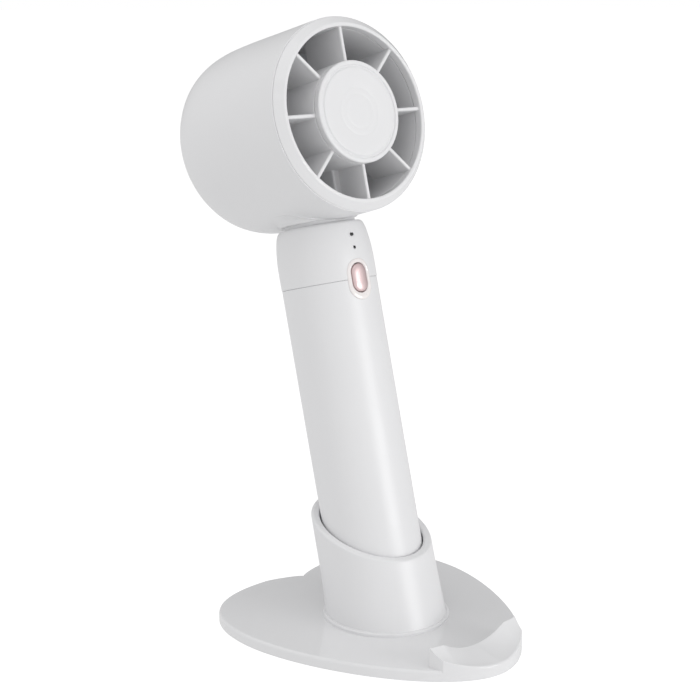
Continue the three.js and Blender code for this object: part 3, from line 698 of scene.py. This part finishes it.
def build_bezel():
    face, back, slack = BEZEL["face"], BEZEL["back"], BEZEL["slack"]
    hole = (BEZEL["width"] - BUTTON["width"] - slack) / 2
    steps = rounded([(0, back), (0, face - 0.15, 0.25), (0.75, face + 0.02, 0.5),
                     (hole - 0.5, face - 0.12, 0.4), (hole, face - 0.35, 0.3), (hole, back)], count=6)
    return pill_stack("bezel_ring", BEZEL["width"], BEZEL["height"], steps, hollow=True, around=BEZEL["z"],
                      shorten=(BEZEL["height"] - BUTTON["height"] - slack) / 2 / hole,
                      rise=(BUTTON_Z - BEZEL["z"]) / hole)


def build_button():
    """The key, with a straight wall and a domed top."""
    face, crown = BUTTON["face"], BUTTON["crown"]
    half = BUTTON["width"] / 2
    dome = [(half * (1 - math.cos(t)) + 0.02, face - crown * (1 - math.sin(t)) ** BUTTON["bulge"])
            for t in (0.25, 0.5, 0.75, 1.0, 1.2, 1.4, 1.5)]
    steps = [(0, BUTTON["back"]), (0, face - crown), *dome]
    return pill_stack("button_key", BUTTON["width"], BUTTON["height"], steps)


def build_led(name, z):
    r, back = LED["radius"], LED["back"]
    outline = rounded([(0, LED["face"]), (r, LED["edge"], 0.2), (r, back, 0.1), (0, back)])
    return turned(name, outline, IN_HANDLE @ Matrix.Translation((0, 0, z)), "Y", SMALL_ROUND)


def build_usb():
    wall, deep, mouth = USB["wall"], USB["depth"], USB["mouth"]
    section = rounded([(0, mouth - deep), (0, mouth, 0.12), (wall, mouth, 0.12), (wall, mouth - deep + 0.5)],
                      closed=False)
    rings = []
    for inset, y in section:
        shell = pill(USB["height"] - 2 * inset, USB["width"] - 2 * inset)
        rings.append([(v, y, USB["z"] + u) for u, v in shell])
    verts, faces = skin(rings, cap_first=True, cap_last=True)
    can = mesh_object("can", verts, faces, IN_HANDLE)
    tongue = bmesh.new()
    bmesh.ops.create_cube(tongue, size=1)
    mesh = bpy.data.meshes.new("tongue")
    tongue.to_mesh(mesh)
    tongue.free()
    mesh.transform(IN_HANDLE @ Matrix.Translation((0, mouth - deep / 2 - 0.4, USB["z"]))
                   @ Matrix.Diagonal((USB["tongue"][0], deep - 0.6, USB["tongue"][1], 1)))
    blade = bpy.data.objects.new("tongue", mesh)
    bpy.context.scene.collection.objects.link(blade)
    soften(blade, 0.15)
    return join("usb_socket", [can, blade])


def build_bottom_cap():
    r, low = GRIP["radius"], GRIP["bottom"]
    inner = r - GRIP["wall"] - GAP
    bore = inner - BOTTOM_CAP["wall"]
    flange, base, plug = (low + BOTTOM_CAP[k] for k in ("flange", "base", "plug"))
    outline = rounded([(0, low), (r, low, 1.2), (r, flange, 0.2), (inner, flange), (inner, plug, 0.3),
                       (bore, plug, 0.3), (bore, base), (0, base)])
    return turned("handle_foot", outline, IN_HANDLE)


finished(build_grip(), looks["satin_white"], "handle", "satin_white", "grip_tube")
finished(build_top_shell(), looks["satin_white"], "handle", "satin_white", "top_shell")
finished(build_bottom_cap(), looks["satin_white"], "handle", "satin_white", "bottom_cap")
finished(build_bezel(), looks["pearl"], "handle", "pearl", "bezel")
finished(build_button(), looks["rose_gold"], "button", "rose_gold", "button_cap")
lower, upper = LED["heights"]
finished(build_led("led_lower", lower), looks["indicator"], "handle", "indicator", "led_pipe_lower")
finished(build_led("led_upper", upper), looks["indicator"], "handle", "indicator", "led_pipe_upper")
finished(build_usb(), looks["steel"], "handle", "steel", "usb_port")

# ---- Head ----------------------------------------------------------------


def drum_underside(x):
    """Height on the handle of the drum's lower face."""
    return HEAD_UP - math.sqrt(HEAD["radius"] ** 2 - x * x)


def build_collar():
    """A skirt that flares into the drum's underside, with a shadow gap above the handle."""
    r, low, steps = (NECK[k] for k in ("collar", "lowest", "steps"))
    columns = []
    for k in range(ROUND):
        a = 2 * math.pi * k / ROUND
        c, s = math.cos(a), math.sin(a)
        corner = max(low + 0.3, drum_underside(r * c))
        room = corner - low - 0.25
        reach = r + 0.1 + NECK["spread"] * min(NECK["flare"], room)
        start, end = (r, corner - room), (reach, max(corner, drum_underside(reach * c)) + 0.02)
        line = [(r - 0.3, low), start]
        for i in range(1, steps + 1):
            t = i / steps
            line.append(tuple((1 - t) ** 2 * p + 2 * t * (1 - t) * q + t * t * w
                              for p, q, w in zip(start, (r, corner), end)))
        line.append((reach - 0.4, end[1] + 0.9))
        columns.append([(x * c, x * s, z) for x, z in line])
    rings = list(zip(*columns))
    verts, faces = skin(rings, cap_first=True, cap_last=True)
    return mesh_object("collar", verts, faces, IN_HANDLE, 40)


def build_head_shell():
    widest, front, back = (HEAD[k] for k in ("radius", "front", "back"))
    wall = widest - HEAD["wall"]
    outside = smooth_line([(35.42, 5.0), (35.78, 24.0), (36.07, 38.0), (widest, 46.0), (35.95, 52.5),
                           (35.35, 57.8), (34.2, 62.0), (32.6, 65.0)], 8)
    outline = [(wall, front, 0.2), (35.36, front, 0.22), *outside, (31.4, back, 0.5), (30.5, back, 0.25),
               (30.5, 64.5), (31.4, 63.5), (33.2, 59), (wall, 54)]
    drum = turned("drum", rounded(outline), IN_HEAD, "Y")
    r, low, top = NECK["radius"], NECK["bottom"], NECK["top"]
    stem = turned("stem", rounded([(0, low), (r, low, 0.4), (r, top), (0, top)]), IN_HANDLE)
    return join("head_drum", [drum, build_collar(), stem])


def build_front_ring():
    inner = DUCT["radius"]
    outline = [(inner, 0, 0.55), (32.3, 0, 0.7), (35.3, 3.0, 0.2), (33.8, 3.0), (33.8, 6.5, 0.2),
               (32.8, 6.5, 0.2), (32.8, 3.3), (inner, 3.3, 0.15)]
    return turned("bevel_ring", rounded(outline), IN_HEAD, "Y")


def build_duct():
    inner, wall = DUCT["radius"], DUCT["wall"]
    outline = [(inner, DUCT["front"], 0.15), (inner + wall, DUCT["front"]), (inner + wall, DUCT["back"]),
               (inner, DUCT["back"], 0.3)]
    return turned("duct_liner", rounded(outline), IN_HEAD, "Y")


def build_vane(angle):
    """A radial plate with a round front edge, a little thicker where it meets the hub and the duct."""
    front, back, taper = VANE["front"], VANE["back"], VANE["taper"]
    rings = []
    for r, flare in VANE_FLARE:
        half = VANE["half"] + flare
        section = rounded([(front, -half, 0.6), (front, half, 0.6), (back, half * taper, 0.35),
                           (back, -half * taper, 0.35)])
        rings.append([(r, d, w) for d, w in section])
    verts, faces = skin(rings, cap_first=True, cap_last=True)
    return mesh_object("vane", verts, faces, IN_HEAD @ Matrix.Rotation(angle, 4, "Y"))


def build_strut():
    front, back, half = STRUT["front"], STRUT["back"], STRUT["half"]
    rings = []
    for r, flare in STRUT_FLARE:
        w, near = half + flare, front - flare
        section = rounded([(near, -w, 0.7), (near, w, 0.7), (back, w, 0.4), (back, -w, 0.4)])
        rings.append([(x, d, -r) for d, x in section])
    verts, faces = skin(rings, cap_first=True, cap_last=True)
    return mesh_object("strut", verts, faces, IN_HEAD)


def build_grille():
    inner = HUB["radius"] - HUB["wall"]
    r, front, back = HUB["radius"], HUB["front"], HUB["back"]
    barrel = turned("barrel", rounded([(r, front, 0.2), (r, back, 0.8), (4.9, back, 0.3), (4.9, back - 1.8),
                                       (inner, back - 1.8), (inner, front, 0.2)]), IN_HEAD, "Y")
    vanes = [build_vane(2 * math.pi * i / VANE["count"]) for i in range(VANE["count"])]
    return join("vane_grille", [barrel, build_strut(), *vanes])


def build_hub_cap():
    face, front, r = HUB["face"], HUB["front"], HUB["radius"]
    inner = r - HUB["wall"] - GAP

    bore, seat = inner - 1.2, front - GAP
    low, rim = face + 0.5, face - 0.04

    def relief(radius):
        """A faint plain ring."""
        return [(radius - 0.5, face), (radius, face + 0.09, 0.5), (radius + 0.5, face)]

    outline = [(0, face - 0.02), (4.6, face - 0.01, 3), *relief(6.2), *relief(8.6), (15.7, face, 1.0),
               (16.12, low, 0.25), (16.72, low, 0.25), (17.0, rim, 0.4), (r, rim, 0.9), (r, seat, 0.2),
               (inner, seat), (inner, front + 3), (bore, front + 3), (bore, seat), (0, seat)]
    return turned("hub_disc", rounded(outline), IN_HEAD, "Y")


def build_blade(angle):
    """A cambered blade, twisted from hub to tip."""
    root, front, back = (BLADE[k] for k in ("root", "front", "back"))
    last, points = BLADE["stations"] - 1, BLADE["points"]
    rings = []
    for k in range(last + 1):
        r = root + (IMPELLER["tip"] - root) * k / last
        stagger = math.radians(BLADE["stagger"] + BLADE["twist"] * k / last)
        thick = BLADE["thick"] - BLADE["thinning"] * k / last
        upper, lower = [], []
        for i in range(points):
            t = i / (points - 1)
            d = front + (back - front) * t
            camber = BLADE["camber"] * math.sin(math.pi * t) / 2
            swing = (t - 0.5) * (back - front) * math.tan(stagger) * BLADE["sweep"] + camber
            half = thick * (0.25 + 0.75 * math.sin(math.pi * min(1, t + 0.08) ** 0.7)) / 2
            upper.append((swing + half, d))
            lower.append((swing - half, d))
        section = upper + lower[::-1]
        rings.append([(r * math.cos(s / r), d, r * math.sin(s / r)) for s, d in section])
    verts, faces = skin(rings, cap_first=True, cap_last=True)
    return mesh_object("blade", verts, faces, IN_HEAD @ Matrix.Rotation(angle, 4, "Y"), 50)


def build_impeller():
    hub, wall, front, back = (IMPELLER[k] for k in ("hub", "wall", "front", "back"))
    outline = rounded([(hub, front, 0.4), (hub, back - 3, 2.0), (hub - 4.5, back, 2.0), (4, back, 0.4),
                       (4, 58, 0.3), (1.8, 58), (1.8, back - 2), (hub - wall, back - 2.5),
                       (hub - wall, front, 0.3)])
    core = turned("core", outline, IN_HEAD, "Y", 96)
    blades = [build_blade(2 * math.pi * i / IMPELLER["blades"]) for i in range(IMPELLER["blades"])]
    return join("fan_rotor", [core, *blades])


def build_rear_grille():
    """A shallow dome with radial slots whose ends are round."""
    slots, rim, ribs, edge = (GRILLE[k] for k in ("slots", "rim", "ribs", "radius"))
    half_slot, start, end, tip = (GRILLE[k] for k in ("half_slot", "start", "end", "tip"))
    dome = smooth_line([(0, GRILLE["crown"]), (10, 72.1), (20, 71.2), (27.0, 69.1), (29.3, 68.0),
                        (edge, rim)], 12)

    def height(r):
        for (r0, d0), (r1, d1) in zip(dome, dome[1:]):
            if r0 <= r <= r1:
                return d0 + (d1 - d0) * (r - r0) / max(1e-9, r1 - r0)
        return rim

    def half_width(r):
        near = min(r - start, end - r)
        if near <= 0:
            return tip
        if near >= half_slot:
            return half_slot
        return max(tip, math.sqrt(half_slot ** 2 - (half_slot - near) ** 2))

    ends = (0.0, 0.05, 0.18, 0.4, 0.7, 1.1)
    radii = [1.5, 4, 7, 9.2, *[start + e for e in ends], 13, 16, 18.5, 21, 23.5,
             *[end - e for e in ends[::-1]], 27.2, 28.4, 29.2, 29.8, edge]
    rings = []
    for r in radii:
        ring = []
        for k in range(slots):
            centre = 2 * math.pi * k / slots
            half = math.asin(half_width(r) / r)
            left, right = centre + half, centre + 2 * math.pi / slots - half
            ring += [centre - half, *[left + (right - left) * i / ribs for i in range(ribs)]]
        rings.append([(r * math.cos(a), height(r), r * math.sin(a)) for a in ring])
    rings.append([(x, rim - 2, z) for x, y, z in rings[-1]])
    verts, faces = skin(rings, cap_first=True)
    per_slot = ribs + 1
    size = len(rings[0])
    first, last = radii.index(start), radii.index(end)
    kept = []
    for number, face in enumerate(faces):
        ring, column = divmod(number, size)
        if first <= ring < last and column % per_slot == 0 and len(face) == 4:
            continue
        kept.append(face)
    dome_obj = mesh_object("vent_dome", verts, kept, IN_HEAD)
    thick = dome_obj.modifiers.new("wall", "SOLIDIFY")
    thick.thickness = GRILLE["wall"] * MM
    thick.offset = -1
    apply_modifiers(dome_obj)
    soften(dome_obj, 0.22, 2, 50)
    return dome_obj


finished(build_head_shell(), looks["satin_white"], "handle", "satin_white", "head_shell")
finished(build_front_ring(), looks["gloss_white"], "handle", "gloss_white", "front_ring")
finished(build_duct(), looks["satin_white"], "handle", "satin_white", "air_duct")
finished(build_grille(), looks["satin_white"], "handle", "satin_white", "front_grille")
finished(build_hub_cap(), looks["satin_white"], "handle", "satin_white", "hub_cap")
finished(build_impeller(), looks["fan_plastic"], "rotor", "fan_plastic", "impeller")
finished(build_rear_grille(), looks["satin_white"], "handle", "satin_white", "rear_grille")

# ---- Inner pieces keep their CAD shape ------------------------------------

for part in frame["record"]["subparts"]:
    cad = frame["nodes"][part["node"]]
    cad.data.materials.clear()
    cad.data.materials.append(looks[part["material_slot"]])

# ---- Floor, light and camera ----------------------------------------------

BACKDROP = 1.0  # how bright the surroundings look to the camera
FIELD = {"side": 0.74, "dark": 0.30}  # how bright they are for the object
FLOOR = {"seen": 0.75, "gives": 0.42, "matt": 0.45}
FLOOR_SIZE = 14.0
DIM_SIDE = (0.86, 0.51, 0.0)  # the dimmer side of the room
DIM_FROM, DIM_TO = 0.15, 0.95  # where the room begins to dim and where it is dimmest
LIGHT_AIM = Vector((0, 0, 0.11))  # metres, about the object's middle
LIGHT_DISTANCE = 1.3


def seen_or_given(tree, target, seen, given):
    """A strength that is one value where it is looked at and another where it lights the object."""
    path = tree.nodes.new("ShaderNodeLightPath")
    mix = tree.nodes.new("ShaderNodeMapRange")
    mix.inputs["To Max"].default_value = seen
    if isinstance(given, bpy.types.NodeSocket):
        tree.links.new(given, mix.inputs["To Min"])
    else:
        mix.inputs["To Min"].default_value = given
    tree.links.new(path.outputs["Is Camera Ray"], mix.inputs["Value"])
    tree.links.new(mix.outputs["Result"], target)


def build_world():
    """A pale room, dimmer on one side of the object than on the others."""
    world = bpy.data.worlds.new("studio")
    world.use_nodes = True
    tree = world.node_tree
    background = tree.nodes["Background"]
    background.inputs["Color"].default_value = (1, 1, 1, 1)
    place = tree.nodes.new("ShaderNodeTexCoord").outputs["Generated"]
    turn = tree.nodes.new("ShaderNodeVectorMath")
    turn.operation = "DOT_PRODUCT"
    turn.inputs[1].default_value = DIM_SIDE
    tree.links.new(place, turn.inputs[0])
    towards = tree.nodes.new("ShaderNodeMapRange")
    towards.interpolation_type = "SMOOTHSTEP"
    for key, value in (("From Min", DIM_FROM), ("From Max", DIM_TO), ("To Min", FIELD["side"]),
                       ("To Max", FIELD["dark"])):
        towards.inputs[key].default_value = value
    tree.links.new(turn.outputs["Value"], towards.inputs["Value"])
    seen_or_given(tree, background.inputs["Strength"], BACKDROP, towards.outputs["Result"])
    bpy.context.scene.world = world


def build_floor():
    size = FLOOR_SIZE
    verts = [(-size, -size, 0), (size, -size, 0), (size, size, 0), (-size, size, 0)]
    floor = mesh_object("floor", verts, [(0, 1, 2, 3)], Matrix.Identity(4))
    material = bpy.data.materials.new("paper")
    material.use_nodes = True
    tree = material.node_tree
    tree.nodes.remove(tree.nodes["Principled BSDF"])
    glow = tree.nodes.new("ShaderNodeEmission")
    matt = tree.nodes.new("ShaderNodeBsdfDiffuse")
    both = tree.nodes.new("ShaderNodeAddShader")
    matt.inputs["Color"].default_value = (*[FLOOR["matt"]] * 3, 1)
    seen_or_given(tree, glow.inputs["Strength"], FLOOR["seen"], FLOOR["gives"])
    tree.links.new(glow.outputs[0], both.inputs[0])
    tree.links.new(matt.outputs[0], both.inputs[1])
    tree.links.new(both.outputs[0], tree.nodes["Material Output"].inputs["Surface"])
    floor.data.materials.append(material)


def direction(azimuth, elevation):
    """From the object towards a place round it: 0 is in front of it and 90 lies along +X."""
    a, e = math.radians(azimuth), math.radians(elevation)
    return Vector((math.sin(a) * math.cos(e), -math.cos(a) * math.cos(e), math.sin(e)))


def area_light(name, azimuth, elevation, size, power):
    """A soft light that faces the object's middle."""
    data = bpy.data.lights.new(name, "AREA")
    data.shape = "RECTANGLE"
    data.size, data.size_y = size
    data.energy = power
    lamp = bpy.data.objects.new(name, data)
    away = direction(azimuth, elevation)
    lamp.location = LIGHT_AIM + away * LIGHT_DISTANCE
    lamp.rotation_mode = "QUATERNION"
    lamp.rotation_quaternion = (-away).to_track_quat("-Z", "Y")
    bpy.context.scene.collection.objects.link(lamp)


CAMERA = {"azimuth": -40.816, "elevation": 13.297, "distance": 0.558947, "lens": 78.97,
          "target": (-0.007098, -0.003029, 0.104196)}


def build_camera():
    data = bpy.data.cameras.new("camera")
    data.sensor_width = 36.0
    data.lens = CAMERA["lens"]
    data.clip_start, data.clip_end = 0.01, 100.0
    camera = bpy.data.objects.new("camera", data)
    back = direction(CAMERA["azimuth"], CAMERA["elevation"])
    camera.location = Vector(CAMERA["target"]) + back * CAMERA["distance"]
    camera.rotation_mode = "QUATERNION"
    camera.rotation_quaternion = (-back).to_track_quat("-Z", "Y")
    bpy.context.scene.collection.objects.link(camera)
    bpy.context.scene.camera = camera


build_world()
build_floor()
area_light("overhead", -60, 70, (0.9, 0.9), 1.3)
area_light("front_right", 18, 6, (0.6, 0.3), 4.3)
area_light("left_fill", -95, 6, (1.2, 1.2), 0.5)
area_light("rim", -150, 50, (0.8, 0.8), 1.5)
build_camera()

view = bpy.context.scene.view_settings
view.view_transform = "Standard"
view.look = "None"
view.exposure = 0.0
view.gamma = 1.0
